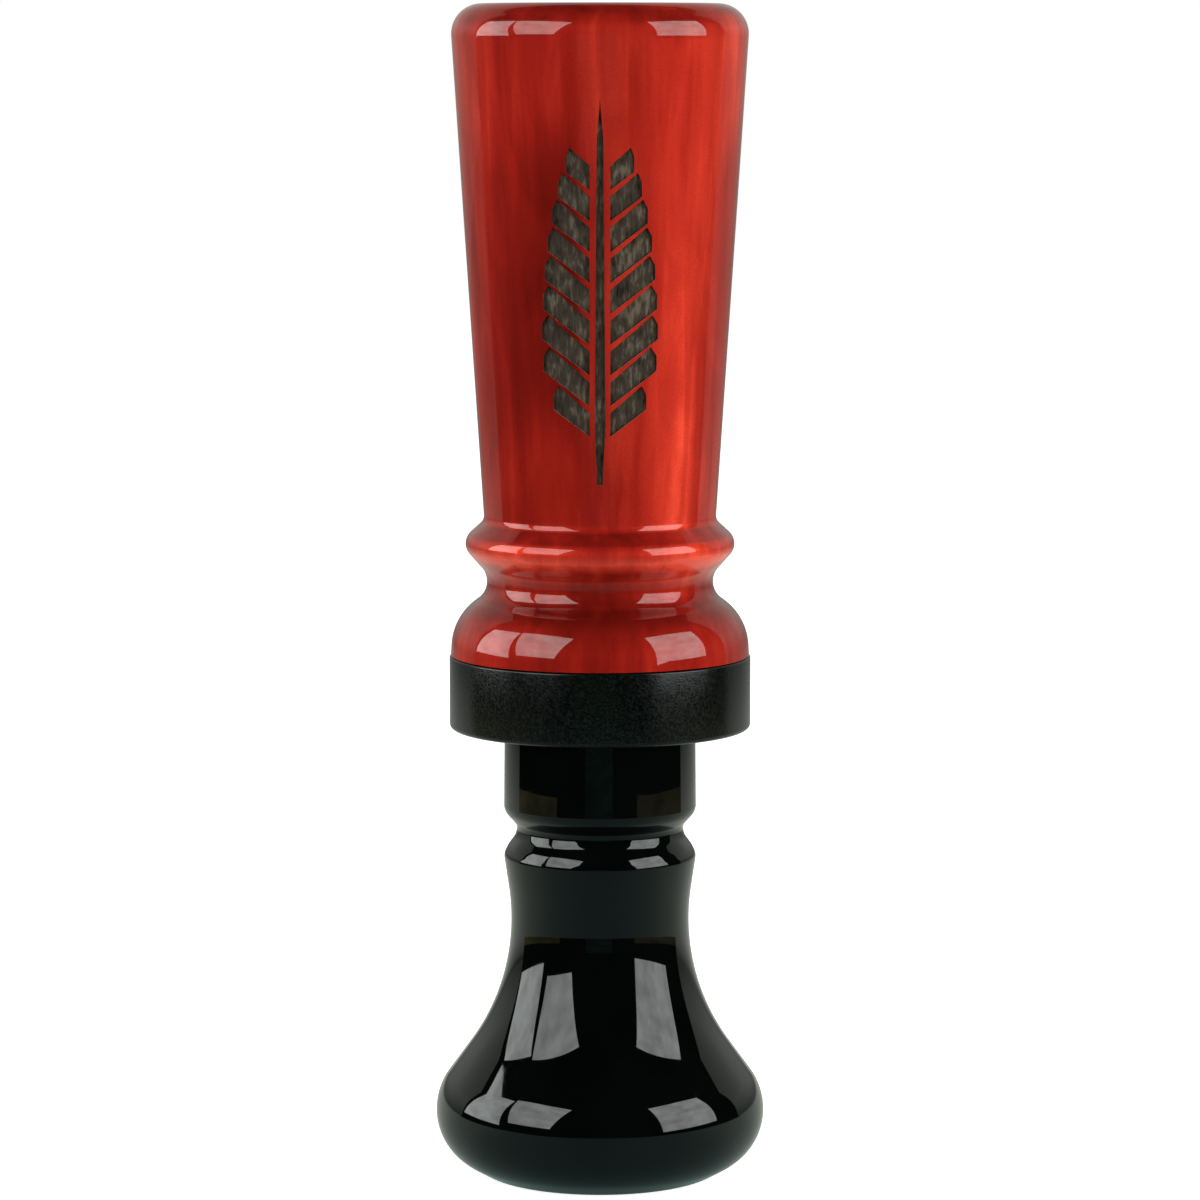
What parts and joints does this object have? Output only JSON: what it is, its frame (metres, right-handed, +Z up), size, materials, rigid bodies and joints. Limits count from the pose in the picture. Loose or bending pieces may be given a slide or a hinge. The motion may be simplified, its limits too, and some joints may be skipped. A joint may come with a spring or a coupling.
{
  "type": "duck call",
  "caption": "Duck call: a tapered mouthpiece barrel with a band round its foot, plugged onto a flared insert that holds a toneboard, reed and cork wedge.",
  "frame": {"origin": "centre of the base, on the surface that the bell stands on", "axes": "+Z up the call's axis towards the mouthpiece, -Y the side that the reed faces"},
  "size_m": [0.035, 0.035, 0.1236],
  "materials": {
    "barrel_acrylic": "polished pearl acrylic",
    "band_metal": "satin black anodised",
    "insert_acrylic": "polished black acrylic",
    "seal_rubber": "smooth nitrile",
    "toneboard_plastic": "machined smoke polycarbonate",
    "reed_film": "frosted polyester film",
    "wedge_cork": "sanded cork"
  },
  "bodies": {
    "insert": {"insert": "insert_acrylic"},
    "o_rings": {"o_ring_upper": "seal_rubber", "o_ring_lower": "seal_rubber"},
    "barrel": {"barrel": "barrel_acrylic", "band": "band_metal"},
    "toneboard": {"toneboard": "toneboard_plastic"},
    "wedge": {"wedge": "wedge_cork"},
    "reed": {"reed": "reed_film"}
  },
  "joints": [
    {"name": "barrel_twist", "type": "hinge", "parent": "insert", "child": "o_rings", "pos_m": [0, 0, 0.057], "axis": [0, 0, 1], "continuous": true},
    {"name": "barrel_lift", "type": "slide", "parent": "o_rings", "child": "barrel", "axis": [0, 0, 1], "range_m": [0, 0.065]},
    {"name": "toneboard_slide", "type": "slide", "parent": "insert", "child": "toneboard", "axis": [0, 0, 1], "range_m": [0, 0.016]},
    {"name": "wedge_slide", "type": "slide", "parent": "toneboard", "child": "wedge", "axis": [0, 0, 1], "range_m": [0, 0.016]},
    {"name": "reed_flex", "type": "hinge", "parent": "toneboard", "child": "reed", "pos_m": [0, -0.00018, 0.0689], "axis": [-1, 0, 0], "range_deg": [-0.5, 1.9], "stiffness_Nm_per_rad": 0.004, "deforming": ["reed"]}
  ]
}
